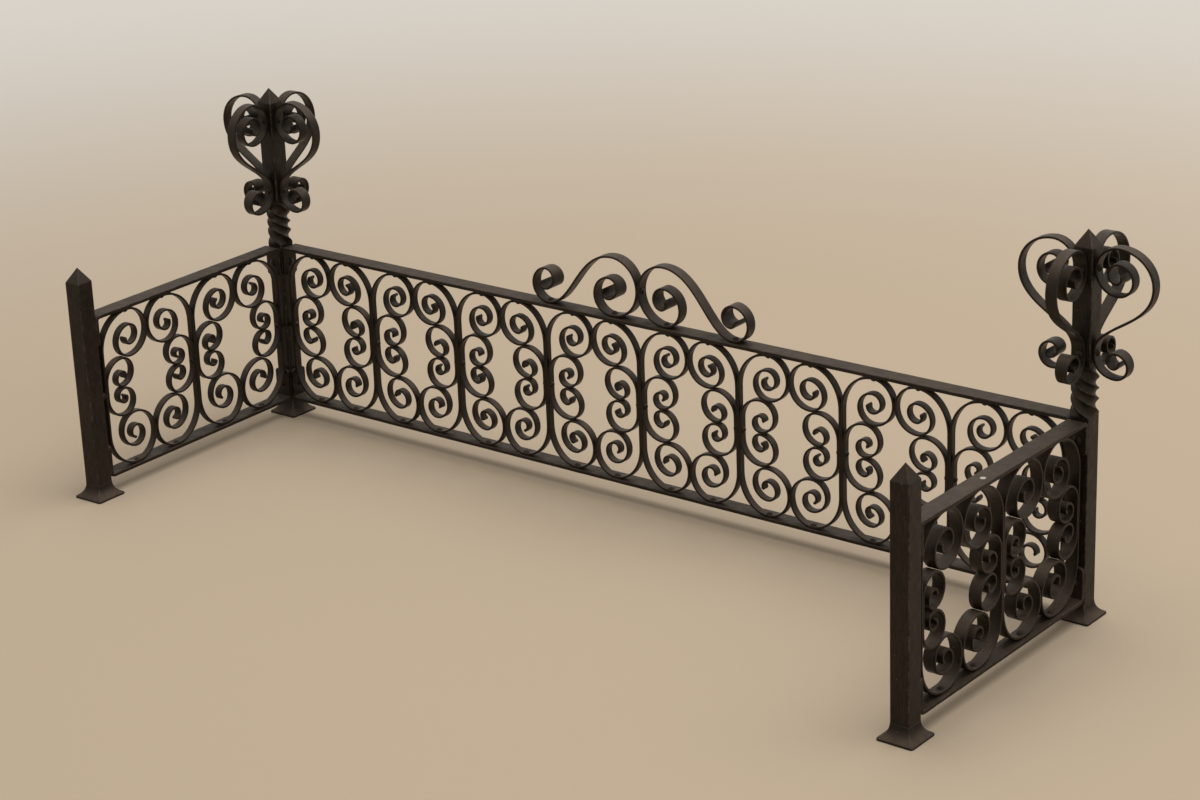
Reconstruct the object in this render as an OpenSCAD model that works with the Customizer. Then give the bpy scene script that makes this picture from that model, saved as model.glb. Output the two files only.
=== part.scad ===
// Wrought-iron fireplace fender: a long scrollwork panel at the front, a short one at each side,
// all held between four square posts on flared feet, with scroll finials and a double-scroll crest.
// Frame: +Z up, the fender's front looks to -Y, X runs along its length. The origin is on the floor
// below the centre of the overall box. Left and right are as seen by a person in front of it.

/* [Overall] */
// Distance between the left and right post axes
span = 1300; // [1260:5:1340]
// Distance between the front and back post axes
depth = 387; // [375:1:405]
// Turn of the right side panel towards the hearth, in degrees
toe_in = 1.2; // [0:0.1:1.4]

/* [Posts] */
// Side of the square bar of the posts
post_w = 25; // [24:0.5:26]
// Height of the back posts above their top rail, below the point
low_post_rise = 51; // [45:1:65]
// Height of the pyramid point of a post
point_h = 19.5; // [14:0.5:26]
// Straight length of a front post between its top rail and its twisted neck
neck_gap = 2.5; // [1:0.5:4]
// Height of the twisted neck of a front post
neck_h = 62; // [56:1:66]
// Quarter turns in the twisted neck
neck_quarters = 4; // [3:1:5]
// Corner radius of the twisted neck
neck_corner = 2; // [1:0.5:4]

/* [Feet] */
// Side of the square foot on the floor
foot_w = 48; // [42:1:54]
// Height of the flared foot
foot_h = 20; // [18:0.5:22]
// Thickness of the foot's outer edge
foot_edge = 3; // [2:0.5:4]
// Radius of the foot's corners
foot_corner = 3; // [1:0.5:5]
// Diameter of the round tenon that joins a post to its foot
tenon_d = 12; // [8:0.5:16]
// Length of that tenon
tenon_len = 12; // [8:0.5:14]

/* [Rails] */
// Width of the flat bar of the rails
rail_w = 25; // [22:0.5:26]
// Thickness of the flat bar of the rails
rail_t = 5; // [4:0.25:6]
// Height of the bottom rail's underside above the floor
rail_low_z = 23.5; // [23:0.5:28]
// Clear height between the bottom and the top rail
field_h = 221.5; // [216:0.5:226]
// Length of the lug bent down at each end of a top rail
top_lug = 43; // [34:1:50]
// Length of the lug bent up at each end of a bottom rail
low_lug = 46.5; // [36:0.5:52]
// Outer radius of the bend between a rail and its lug
bend_r = 7; // [6.5:0.5:9]
// Corner radius of a lug's free end
lug_corner = 5; // [1:0.5:8]

/* [Panel scrolls] */
// Width of the scroll bar
scroll_w = 10; // [9:0.5:12]
// Distance between the middle of the rails and the middle of the scroll bar, towards the hearth
scroll_set = 5; // [0:0.5:6]
// Width of the scroll bar in the left side panel, which was made from wider stock
left_scroll_w = 16; // [12:0.5:18]
// Distance between the middle of that panel's rails and of its scroll bar, towards the hearth
left_scroll_set = 0; // [-2:0.5:3]
// Thickness of the scroll bar
scroll_t = 3; // [2.5:0.25:3.25]
// Distance between a post's face and the back of the first scroll
end_gap = 7.5; // [7:0.25:9]
// Radius of the large scrolls' upper loops in the front panel
front_loop_r = 30.5; // [29.5:0.25:32]
// Radius of their lower loops
front_low_r = 32.5; // [30:0.25:33.5]
// Radius of the large scrolls' upper loops in the left side panel
left_loop_r = 34.5; // [32:0.25:35]
// Radius of their lower loops
left_low_r = 33.5; // [32:0.25:35]
// Radius of the large scrolls' upper loops in the right side panel
right_loop_r = 33; // [32:0.25:34.5]
// Radius of their lower loops
right_low_r = 36; // [33:0.25:36.5]
// Height of the large scrolls' rounded shoulder
shoulder_h = 50; // [46:0.5:60]
// Centre of the small scrolls' loop in the front panel, as a share of the half module
front_small_share = 0.44; // [0.41:0.005:0.45]
// The same in the left side panel
left_small_share = 0.31; // [0.3:0.005:0.4]
// The same in the right side panel
right_small_share = 0.385; // [0.34:0.005:0.4]
// Size of a large coil's second turn against its first
turn_2 = 0.67; // [0.65:0.005:0.69]
// Size of a large coil's third turn against its first
turn_3 = 0.415; // [0.4:0.005:0.43]
// Size of a large coil's fourth turn against its first
turn_4 = 0.245; // [0.235:0.005:0.265]
// Size of a small coil's second turn against its first
small_turn_2 = 0.53; // [0.5:0.005:0.56]
// Size of a small coil's third turn against its first
small_turn_3 = 0.28; // [0.26:0.005:0.32]
// Mean sweep of a coil's last turn
tip_sweep = 146; // [130:1:148]
// Uneven sweep of the last turns from one hand-bent coil to the next
tip_uneven = 30; // [0:1:32]
// Uneven size of the inner turns, as a share
turn_uneven = 0.025; // [0:0.005:0.03]

/* [Crest] */
// Width of the crest's bar
crest_w = 16; // [14:0.5:18]
// Thickness of the crest's bar
crest_t = 3; // [2.5:0.25:3.5]
// Radius of the large coil's outer turn
crest_big_r = 40.2; // [38:0.2:42]
// Radius of the small coil's outer turn
crest_small_r = 23.6; // [22:0.2:25]
// Straight length on the rail below the right crest's large coil, which was bent wider
crest_flat = 4; // [0:0.5:6]
// Distance between the middle of the crest and the small coil's centre
crest_reach = 151; // [146:1:156]

/* [Finials] */
// Width of the finial bar
finial_w = 14.5; // [13:0.5:16]
// Thickness of the finial bar
finial_t = 3; // [2.5:0.25:3.5]
// Farthest reach of a finial from the post's axis, to the bar's outer face
finial_reach = 89; // [86:0.5:93]
// Height of the seat's lower end above the twisted neck
seat_lift = 13.5; // [10.5:0.5:16.5]
// Length of the straight seat on the post
finial_seat = 7; // [6:0.5:9]
// Height of a finial's widest point above its seat
belly_h = 87; // [83:1:91]
// Height of a finial's top above its widest point, at the middle of the bar
crown_h = 40.5; // [37:0.5:45]
// Height of a finial's top above the square part of its post
post_under = 3.5; // [0:0.5:8]
// Distance between the post's axis and the upper coil's centre
finial_coil_x = 42.5; // [41:0.5:44]
// Depth of the lower coil's lowest point below the seat, at the middle of the bar
low_drop = 23; // [21:1:27]
// Distance between the post's axis and the lower coil's centre
finial_low_x = 41.5; // [40:0.5:43]
// Radius of the lower coil's outer turn
finial_low_r = 16; // [15:0.5:17]

/* [Fasteners] */
// Diameter of a rivet's shank
rivet_d = 5; // [4:0.25:5.5]
// Diameter of a rivet's domed head
rivet_head_d = 8.5; // [7:0.25:9.5]
// Height of a rivet's domed head
rivet_head_h = 3; // [1.5:0.1:3.2]
// Depth of a rivet in a rail
rail_bite = 2.2; // [1.5:0.1:2.3]
// Depth of a finial's rivet or a lug screw in a post
post_bite = 8; // [6:0.25:8.5]
// Depth of a panel-end rivet in a post, short so that those of two panels pass each other
end_bite = 4; // [3:0.25:4.25]
// Diameter of a lug screw's shank
screw_d = 6; // [5:0.25:6.5]
// Diameter of a lug screw's domed head
screw_head_d = 12; // [10:0.25:13]
// Height of a lug screw's domed head
screw_head_h = 3.2; // [2:0.1:3.8]
// Outer diameter of the spacer between a post and the first scroll
spacer_d = 10; // [9:0.25:11.5]
// Radial clearance of shanks and tenons in their holes
clear = 0.1; // [0.05:0.05:0.2]
// Gap left between two loops of one pair that only just meet
loop_gap = 0.2; // [0.1:0.05:0.3]

/* [Hidden] */
$fn = 64;
// modules across the front panel and across each side panel
front_n = 8;
side_n = 2;
// steps of a free curve, and the end depth of blind holes past the shank
curve_n = 10;
hole_end = 0.4;
reach_out = 1;
// how much shorter than the longest each hand-bent finial is: outer, inner, front, back
short_left = [0, 1, 0, 4];
short_right = [0, 1.5, 7, 8.5];
// turns of the crest's and the finials' coils against their first one, and the sweep of the last
crest_big_turns = [1, 0.64, 0.345, 0.2];
crest_big_sweep = 140;
crest_small_turns = [1, 0.575, 0.34];
crest_small_sweep = 100;
finial_turns = [1, 0.675, 0.405, 0.245];
finial_sweep = 130;
finial_low_turns = [1, 0.575, 0.35];
finial_low_sweep = 120;

face = post_w / 2;

// the overall box reaches from the front finials to the back feet, of which the right one stands
// turned with its panel; that panel is moved back a little, so that its rails just meet the post
toe_push = hundredth(face * sin(toe_in)) + 0.01;
back_reach = (depth - face + toe_push) * cos(toe_in) + face - depth + foot_corner
    + (foot_w / 2 - foot_corner) * (sin(toe_in) + cos(toe_in));
shift_y = hundredth((finial_reach - back_reach) / 2);
front_y = shift_y - depth / 2;
back_y = shift_y + depth / 2;
side_x = span / 2;

field_z = rail_low_z + rail_t;
rail_top_z = field_z + field_h + rail_t;
mid_z = field_z + field_h / 2;
low_post_h = rail_top_z + low_post_rise;
neck_z = rail_top_z + neck_gap;
finial_seat_z = neck_z + neck_h + seat_lift;
finial_wide_z = finial_seat_z + finial_seat + belly_h;
finial_top = finial_wide_z + crown_h;
finial_low_z = finial_seat_z - low_drop;
tall_post_h = finial_top - post_under;
low_screw_z = field_z + (low_lug - rail_t) / 2;
top_screw_z = rail_top_z - rail_t - (top_lug - rail_t) / 2;

front_half = side_x - face;
side_half = depth / 2 - face;
front_pitch = (front_half - end_gap) / front_n * 2;
side_pitch = (side_half - end_gap) / side_n * 2;

// radii of the large scrolls' upper and lower loops, and what differs between the side panels
front_loops = [front_loop_r, front_low_r];
function side_loops(s) = s < 0 ? [left_loop_r, left_low_r] : [right_loop_r, right_low_r];
function side_share(s) = s < 0 ? left_small_share : right_small_share;
function side_w(s) = s < 0 ? left_scroll_w : scroll_w;
function side_set(s) = s < 0 ? left_scroll_set : scroll_set;

// centrelines of the scrolls' backs and of their ends
large_x = scroll_t / 2;
large_y = field_h / 2 - scroll_t / 2;
small_x = scroll_t * 3 / 2;
small_y0 = scroll_t / 2 + loop_gap / 2;
crest_x = crest_big_r + crest_t / 2;
crest_y = crest_t / 2;
seat_x = face + finial_t / 2;
finial_r = finial_coil_x - seat_x;
finial_rivet_z = finial_seat_z + finial_seat / 2;

shank_hole_d = rivet_d + 2 * clear;
screw_hole_d = screw_d + 2 * clear;

// ---------------------------------------------------------------- small functions
function hundredth(v) = round(v * 100) / 100;
// radii of a coil's turns from the first one and their shares of it
function turned(r, shares) = [for (k = shares) hundredth(r * k)];
// an uneven value from -1 to 1 that belongs to coil number k
function uneven(k, salt) = sin(k * (137 + 23 * salt));
// radii of a coil's turns: the outer ones are fixed, the inner ones differ a little
function large_turns(r, k) = [
    hundredth(r),
    hundredth(r * turn_2),
    hundredth(r * turn_3 * (1 + turn_uneven * uneven(k, 1))),
    hundredth(r * turn_4 * (1 + 2 * turn_uneven * uneven(k, 2))),
];
function small_turns(r, k) = [
    hundredth(r),
    hundredth(r * small_turn_2 * (1 + turn_uneven * uneven(k, 1))),
    hundredth(r * small_turn_3 * (1 + 2 * turn_uneven * uneven(k, 2))),
];
function tip(k) = tip_sweep + tip_uneven * uneven(k, 3);
// place of the start of turn i from the top of a coil, which has straight lengths between turns
function turn_y(r, i) = i == 0 ? 0 : turn_y(r, i - 1) + (i % 2 == 1 ? -2 : 2) * r[i - 1];
function turn_x(f, i) = i == 0 ? 0 : turn_x(f, i - 1) + (i % 2 == 1 ? -1 : 1) * f[i - 1];
// lift of a flat head off the hollow side of a bend, so that its rim clears it
function lift(r, head_d) = r - sqrt(r * r - head_d * head_d / 4) + 0.05;
function quarter(c, a, b) = [for (i = [0:curve_n]) let (h = 90 * i / curve_n)
    [c[0] - a * cos(h), c[1] + b * sin(h)]];
function bezier(p, q, r, s, n) = [for (i = [0:n]) let (t = i / n, u = 1 - t)
    u * u * u * p + 3 * u * u * t * q + 3 * u * t * t * r + t * t * t * s];
function direction(p, i, first, last) =
    i == 0 ? first : i == len(p) - 1 ? last : (p[i + 1] - p[i - 1]) / norm(p[i + 1] - p[i - 1]);
function beside(p, first, last, d) = [for (i = [0:len(p) - 1])
    let (v = direction(p, i, first, last)) p[i] + d * [-v[1], v[0]]];

// ---------------------------------------------------------------- bar on a curve
// bar along the points p, which starts and ends in the directions first and last
module ribbon(p, first, last, t, w) {
    right = beside(p, first, last, -t / 2);
    left = beside(p, first, last, t / 2);
    linear_extrude(w, center = true)
        polygon(concat(right, [for (i = [len(left) - 1:-1:0]) left[i]]));
}

module bend(r, sweep, t, w) {
    rotate_extrude(angle = sweep)
        translate([r - t / 2, -w / 2])
            square([t, w]);
}

// coil of half turns that starts at its top point p and first runs down on the +x side;
// sx = -1 swaps the sides, sy = -1 starts it at its lowest point, and flats are the straight
// lengths that follow the turns
module coil(p, r, last, t, w, sx = 1, sy = 1, flats = [0, 0, 0, 0]) {
    translate([p[0], p[1], 0])
        mirror([sx < 0 ? 1 : 0, 0, 0])
            mirror([0, sy < 0 ? 1 : 0, 0])
                for (i = [0:len(r) - 1]) {
                    translate([turn_x(flats, i), turn_y(r, i) + (i % 2 == 0 ? -r[i] : r[i]), 0])
                        mirror([0, 1, 0])
                            rotate(i % 2 == 0 ? -90 : 90)
                                bend(r[i], i == len(r) - 1 ? last : 180, t, w);
                    if (flats[i] > 0)
                        translate([(turn_x(flats, i) + turn_x(flats, i + 1) - flats[i]) / 2,
                            turn_y(r, i + 1) - t / 2, -w / 2])
                            cube([flats[i], t, w]);
                }
}

// C-shaped scroll that opens to +x: its back is at x = xb, and at its upper and its lower end
// (0 and 1) it runs over a shoulder to x = xc, y = yt and on into a coil
module c_scroll(xb, xc, yt, sh, radii, k, w) {
    ys = [for (y = yt) hundredth(y - sh)];
    translate([xb - scroll_t / 2, -ys[1], -w / 2])
        cube([scroll_t, ys[0] + ys[1], w]);
    for (s = [0, 1])
        mirror([0, s, 0]) {
            ribbon(quarter([xc[s], ys[s]], xc[s] - xb, yt[s] - ys[s]), [0, 1], [1, 0], scroll_t, w);
            coil([xc[s], yt[s]], radii[s], tip(2 * k + s), scroll_t, w);
        }
}

// half is half a module's width, and r holds the radii of its upper and its lower loops
function coil_x(half, r) = hundredth(half - scroll_t / 2 - loop_gap / 2 - r);
module large_scroll(half, r, k, w) {
    xc = [for (v = r) coil_x(half, v)];
    radii = [for (s = [0, 1]) large_turns(r[s], 2 * k + s)];
    difference() {
        c_scroll(large_x, xc, [large_y, large_y], shoulder_h, radii, k, w);
        back_hole();
        for (s = [0, 1])
            translate([xc[s], (1 - 2 * s) * large_y, 0])
                rotate([90, 0, 0])
                    cylinder(h = scroll_t + 2 * reach_out, d = shank_hole_d, center = true);
    }
}

// the small scrolls' middle is half-way between the large loops, and each small loop just meets
// the large scroll's second turn and its own twin
function small_mid(r) = hundredth(r[1] - r[0]);
function small_r(half, r, share, s) =
    let (r1 = r[s] * turn_2, dx = coil_x(half, r[s]) - share * half,
         m = large_y - (1 - 2 * s) * small_mid(r) - 2 * r[s] + r1 - small_y0,
         k = r1 + scroll_t + loop_gap)
    floor((dx * dx + m * m - k * k) / (2 * (m + k)) * 100) / 100;

module small_scroll(half, r, share, k, w) {
    xs = hundredth(share * half);
    rs = [for (s = [0, 1]) small_r(half, r, share, s)];
    radii = [for (s = [0, 1]) small_turns(rs[s], 2 * k + s)];
    difference() {
        translate([0, small_mid(r), 0])
            c_scroll(small_x, [xs, xs], [for (v = rs) small_y0 + 2 * v], xs - small_x, radii, k, w);
        back_hole();
    }
}

module back_hole() {
    translate([scroll_t, 0, 0])
        rotate([0, 90, 0])
            cylinder(h = 2 * scroll_t + 2 * reach_out, d = shank_hole_d, center = true);
}

// two mirrored scrolls of one module, with its middle at x = 0
module pair(half) {
    for (s = [0, 1])
        mirror([s, 0, 0])
            translate([-half, 0, 0])
                children(s);
}

// the right side panel and its back post stand turned about the front post's back face
module swung(s) {
    if (s > 0)
        translate([side_x, front_y + face, 0])
            rotate(toe_in)
                translate([-side_x, toe_push - front_y - face, 0])
                    children();
    else
        children();
}
// a panel's plane, set off from the middle of its rails towards the hearth
module in_front(set = 0) {
    translate([0, front_y + set, mid_z])
        rotate([90, 0, 0])
            children();
}
module in_side(s, set = 0) {
    swung(s)
        translate([s * (side_x - set), shift_y, mid_z])
            rotate([90, 0, 90])
                children();
}
function front_x(i) = (i - (front_n + 1) / 2) * front_pitch;
function side_u(i) = (i - (side_n + 1) / 2) * side_pitch;

module large_pair(half, r, k, w) {
    color("#2b2725")
        pair(half) {
            large_scroll(half, r, k, w);
            large_scroll(half, r, k + 1, w);
        }
}
module small_pair(half, r, share, k, w) {
    color("#2b2725")
        pair(half) {
            small_scroll(half, r, share, k, w);
            small_scroll(half, r, share, k + 1, w);
        }
}
module large_front(i) {
    in_front(scroll_set)
        translate([front_x(i), 0, 0])
            large_pair(front_pitch / 2, front_loops, 2 * i, scroll_w);
}
module small_front(i) {
    in_front(scroll_set)
        translate([front_x(i), 0, 0])
            small_pair(front_pitch / 2, front_loops, front_small_share, 2 * i + 40, scroll_w);
}
module large_side(s, i) {
    in_side(s, side_set(s))
        translate([side_u(i), 0, 0])
            large_pair(side_pitch / 2, side_loops(s), 2 * i + 80 + 10 * s, side_w(s));
}
module small_side(s, i) {
    in_side(s, side_set(s))
        translate([side_u(i), 0, 0])
            small_pair(side_pitch / 2, side_loops(s), side_share(s), 2 * i + 120 + 10 * s, side_w(s));
}

// ---------------------------------------------------------------- rails
module rounded_bar(half, h, r) {
    translate([-half, -h])
        square([2 * half, h - r]);
    translate([r - half, -h])
        square([2 * (half - r), h]);
    for (s = [-1, 1])
        translate([s * (half - r), -r])
            circle(r);
}
// flat bar with both ends bent down into lugs, its top face at z = 0, along X
module bent_rail(half, lug) {
    intersection() {
        rotate([90, 0, 0])
            linear_extrude(rail_w, center = true)
                difference() {
                    rounded_bar(half, lug, bend_r);
                    translate([0, -rail_t])
                        rounded_bar(half - rail_t, lug, bend_r - rail_t);
                }
        rotate([90, 0, 90])
            linear_extrude(2 * half + 2 * reach_out, center = true) {
                translate([-rail_w / 2, lug_corner - lug])
                    square([rail_w, lug - lug_corner + reach_out]);
                translate([lug_corner - rail_w / 2, -lug])
                    square([rail_w - 2 * lug_corner, lug]);
                for (s = [-1, 1])
                    translate([s * (rail_w / 2 - lug_corner), lug_corner - lug])
                        circle(lug_corner);
            }
    }
}
// holes: a screw hole in each lug, and on the scrolls' side a blind rivet hole at each place
// in xs, which lies off the middle by set
module drilled_rail(half, lug, xs, set) {
    difference() {
        bent_rail(half, lug);
        for (s = [-1, 1])
            translate([s * (half - rail_t / 2), 0, -rail_t - (lug - rail_t) / 2])
                rotate([0, 90, 0])
                    cylinder(h = rail_t + 2 * reach_out, d = screw_hole_d, center = true);
        for (x = xs)
            translate([x, set, -rail_t - reach_out])
                cylinder(h = rail_bite + hole_end / 4 + reach_out, d = shank_hole_d);
    }
}
function coil_places(half, r, places) = [for (p = places, s = [-1, 1])
    p + s * (half - coil_x(half, r))];
function front_r(top) = front_loops[top ? 0 : 1];
function side_r(s, top) = side_loops(s)[top ? 0 : 1];
function front_places(top) =
    coil_places(front_pitch / 2, front_r(top), [for (i = [1:front_n]) front_x(i)]);
function side_places(s, top) =
    coil_places(side_pitch / 2, side_r(s, top), [for (i = [1:side_n]) side_u(i)]);
crest_places = [-crest_reach, -crest_x, crest_x + crest_flat / 2, crest_reach];

module rail_front(top) {
    color("#38322e")
        translate([0, front_y, top ? rail_top_z : rail_low_z])
            difference() {
                mirror([0, 0, top ? 0 : 1])
                    drilled_rail(front_half, top ? top_lug : low_lug, front_places(top),
                        scroll_set);
                if (top)
                    for (x = crest_places)
                        translate([x, 0, -rail_bite - hole_end / 4])
                            cylinder(h = rail_bite + reach_out, d = shank_hole_d);
            }
}
module rail_side(s, top) {
    color("#38322e")
        swung(s)
            translate([s * side_x, shift_y, top ? rail_top_z : rail_low_z])
                rotate(90)
                    mirror([0, 0, top ? 0 : 1])
                        drilled_rail(side_half, top ? top_lug : low_lug, side_places(s, top),
                            s * side_set(s));
}

// ---------------------------------------------------------------- posts and feet
module house(h) {
    rotate([90, 0, 0])
        linear_extrude(post_w, center = true)
            polygon([[-face, 0], [face, 0], [face, h], [0, h + point_h], [-face, h]]);
}
module pointed_bar(h) {
    intersection() {
        house(h);
        rotate(90)
            house(h);
    }
}
module square_bar(h) {
    translate([-face, -face, 0])
        cube([post_w, post_w, h]);
}
// blind hole in the post's face that looks to the direction a, off its middle by set
module face_hole(a, z, d, bite = post_bite, set = 0) {
    rotate(a)
        translate([face - bite - hole_end, set, z])
            rotate([0, 90, 0])
                cylinder(h = bite + hole_end + reach_out, d = d);
}
module panel_holes(a, set) {
    face_hole(a, low_screw_z, screw_hole_d);
    face_hole(a, top_screw_z, screw_hole_d);
    face_hole(a, mid_z, shank_hole_d, end_bite, set);
}
module tenon() {
    translate([0, 0, foot_h - tenon_len])
        cylinder(h = tenon_len + reach_out, d = tenon_d);
}
module post_low(s) {
    color("#332d29")
        swung(s)
            translate([s * side_x, back_y, 0])
                difference() {
                    union() {
                        tenon();
                        translate([0, 0, foot_h])
                            pointed_bar(low_post_h - foot_h);
                    }
                    panel_holes(-90, -s * side_set(s));
                }
}
// twisted length of bar between two straight ones, with its corners hammered round
module neck() {
    k = face - neck_corner;
    e = neck_corner * 0.7;
    linear_extrude(neck_h, twist = 90 * neck_quarters, slices = 8 * neck_quarters,
        segments = 16)
        polygon([for (q = [0:3], c = [[face, -k], [face, k], [k + e, k + e]])
            [c[0] * cos(90 * q) - c[1] * sin(90 * q), c[0] * sin(90 * q) + c[1] * cos(90 * q)]]);
}
module post_tall(s) {
    color("#332d29")
        difference() {
            translate([s * side_x, front_y, 0]) {
                tenon();
                translate([0, 0, foot_h])
                    square_bar(neck_z - foot_h);
                translate([0, 0, neck_z])
                    neck();
                translate([0, 0, neck_z + neck_h])
                    pointed_bar(tall_post_h - neck_z - neck_h);
            }
            swung(s)
                translate([s * side_x, front_y, 0])
                    panel_holes(90, s * side_set(s));
            translate([s * side_x, front_y, 0]) {
                panel_holes(s > 0 ? 180 : 0, -s * scroll_set);
                for (a = [0:90:270]) {
                    face_hole(a, finial_rivet_z, shank_hole_d);
                    face_hole(a, finial_top - finial_r, shank_hole_d);
                }
            }
        }
}

// concave flare from the foot's edge up to the post's width
module flare() {
    k = (foot_w - post_w) / 2;
    h = foot_h - foot_edge;
    r = (k * k + h * h) / (2 * k);
    rotate([90, 0, 0])
        linear_extrude(foot_w, center = true)
            difference() {
                translate([-foot_w / 2, 0])
                    square([foot_w, foot_h]);
                for (s = [-1, 1])
                    translate([s * (face + r), foot_h])
                        circle(r);
            }
}
module foot(s, y) {
    color("#2f2a27")
        swung(y > 0 ? s : 0)
            translate([s * side_x, y, 0])
                difference() {
                    intersection() {
                        flare();
                        rotate(90)
                            flare();
                        linear_extrude(foot_h) {
                            square([foot_w - 2 * foot_corner, foot_w], center = true);
                            square([foot_w, foot_w - 2 * foot_corner], center = true);
                            for (a = [-1, 1], b = [-1, 1])
                                translate([a, b] * (foot_w / 2 - foot_corner))
                                    circle(foot_corner);
                        }
                    }
                    translate([0, 0, foot_h - tenon_len - hole_end])
                        cylinder(h = tenon_len + hole_end + reach_out, d = tenon_d + 2 * clear);
                }
}

// ---------------------------------------------------------------- crest and finials
module crest_scroll(flat) {
    top = hundredth(crest_y + 2 * crest_big_r);
    flats = [flat, 0, 0, 0];
    run = crest_reach - crest_x;
    difference() {
        union() {
            ribbon(bezier([crest_x, top], [crest_x + run * 0.5, top], [crest_reach - run * 0.37, crest_y],
                [crest_reach, crest_y], 16), [1, 0], [1, 0], crest_t, crest_w);
            coil([crest_x, top], turned(crest_big_r, crest_big_turns), crest_big_sweep,
                crest_t, crest_w, -1, 1, flats);
            coil([crest_reach, crest_y], turned(crest_small_r, crest_small_turns), crest_small_sweep,
                crest_t, crest_w, 1, -1);
        }
        for (x = [crest_x + flat / 2, crest_reach])
            translate([x, crest_y, 0])
                rotate([90, 0, 0])
                    cylinder(h = crest_t + 2 * reach_out, d = shank_hole_d, center = true);
        translate([crest_t / 2, crest_y + crest_big_r, 0])
            rotate([0, 90, 0])
                cylinder(h = crest_t + 2 * reach_out, d = shank_hole_d, center = true);
    }
}
module crest(s) {
    color("#2b2725")
        translate([0, front_y, rail_top_z])
            rotate([90, 0, 0])
                mirror([s < 0 ? 1 : 0, 0, 0])
                    crest_scroll(s > 0 ? crest_flat : 0);
}

// S-scroll in the plane through the post's axis: x is the distance from the axis, y the height
module finial_scroll(short) {
    wide = finial_reach - short - finial_t / 2;
    seat_top = finial_seat_z + finial_seat;
    rise = finial_wide_z - seat_top;
    s_curve = bezier([seat_x, seat_top], [seat_x, seat_top + rise * 0.38],
        [wide, finial_wide_z - rise * 0.55], [wide, finial_wide_z], 12);
    over = [for (i = [1:curve_n]) let (h = 90 * i / curve_n)
        [finial_coil_x + (wide - finial_coil_x) * cos(h),
         finial_wide_z + (finial_top - finial_wide_z) * sin(h)]];
    low = [for (i = [0:curve_n]) let (h = 90 * i / curve_n)
        [finial_low_x - (finial_low_x - seat_x) * cos(h),
         finial_seat_z - (finial_seat_z - finial_low_z) * sin(h)]];
    difference() {
        union() {
            translate([seat_x - finial_t / 2, finial_seat_z, -finial_w / 2])
                cube([finial_t, finial_seat, finial_w]);
            ribbon(concat(s_curve, over), [0, 1], [-1, 0], finial_t, finial_w);
            ribbon(low, [0, -1], [1, 0], finial_t, finial_w);
            coil([finial_coil_x, finial_top], turned(finial_r, finial_turns), finial_sweep,
                finial_t, finial_w, -1, 1);
            coil([finial_low_x, finial_low_z], turned(finial_low_r, finial_low_turns), finial_low_sweep,
                finial_t, finial_w, 1, -1);
        }
        for (z = [finial_rivet_z, finial_top - finial_r])
            translate([seat_x, z, 0])
                rotate([0, 90, 0])
                    cylinder(h = finial_t + 2 * reach_out, d = shank_hole_d, center = true);
    }
}
module finial(s, a, short) {
    color("#2b2725")
        translate([s * side_x, front_y, 0])
            rotate(a)
                rotate([90, 0, 0])
                    finial_scroll(short);
}

// ---------------------------------------------------------------- fasteners
// domed head on z = 0 with its shank down to z = -len
module dome(d, h) {
    r = (d * d / 4 + h * h) / (2 * h);
    rotate_extrude()
        polygon([[0, 0], [d / 2, 0], for (i = [1:4]) let (x = d / 2 * cos(22.5 * i))
            [x, h - r + sqrt(r * r - x * x)]]);
}
module rivet(len) {
    dome(rivet_head_d, rivet_head_h);
    translate([0, 0, -len])
        cylinder(h = len + 0.01, d = rivet_d);
}
module rail_rivets(xs, loop_r) {
    up = lift(loop_r - scroll_t / 2, rivet_head_d);
    for (x = xs)
        translate([x, 0, up])
            rivet(up + scroll_t + rail_bite);
}
module rivets_front(top) {
    color("#3a332e")
        translate([0, front_y + scroll_set, top ? rail_top_z - rail_t - scroll_t : field_z + scroll_t])
            mirror([0, 0, top ? 1 : 0])
                rail_rivets(front_places(top), front_r(top));
}
module rivets_side_rails() {
    color("#3a332e")
        for (s = [-1, 1], top = [0, 1])
            swung(s)
                translate([s * (side_x - side_set(s)), shift_y,
                    top ? rail_top_z - rail_t - scroll_t : field_z + scroll_t])
                    mirror([0, 0, top])
                        rotate(90)
                            rail_rivets(side_places(s, top), side_r(s, top));
}
// rivet through the four backs that meet at a divider, with a head on each side
module divider_rivet() {
    for (s = [0, 1])
        mirror([s, 0, 0])
            translate([2 * scroll_t, 0, 0])
                rotate([0, 90, 0])
                    rivet(2 * scroll_t + 0.01);
}
module rivets_front_dividers() {
    color("#3a332e")
        in_front(scroll_set)
            for (i = [1:front_n - 1])
                translate([front_x(i) + front_pitch / 2, 0, 0])
                    divider_rivet();
}
module rivets_side_dividers() {
    color("#3a332e")
        for (s = [-1, 1])
            in_side(s, side_set(s))
                divider_rivet();
}
// places where a panel ends at a post: child geometry points from the panel into the post along -x,
// at the middle of the scroll bars (1) or of the rails (0)
module at_panel_ends(bars) {
    for (s = [0, 1]) {
        in_front(bars * scroll_set)
            mirror([s, 0, 0])
                translate([-front_half, 0, 0])
                    children();
        for (e = [0, 1])
            in_side(2 * s - 1, bars * side_set(2 * s - 1))
                mirror([e, 0, 0])
                    translate([-side_half, 0, 0])
                        children();
    }
}
module rivets_panel_ends() {
    color("#3a332e")
        at_panel_ends(1)
            translate([end_gap + 2 * scroll_t, 0, 0])
                rotate([0, 90, 0])
                    rivet(end_gap + 2 * scroll_t + end_bite);
}
module spacers_panel_ends() {
    color("#3a332e")
        at_panel_ends(1)
            rotate([0, 90, 0])
                difference() {
                    cylinder(h = end_gap, d = spacer_d);
                    translate([0, 0, -reach_out])
                        cylinder(h = end_gap + 2 * reach_out, d = shank_hole_d);
                }
}
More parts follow.
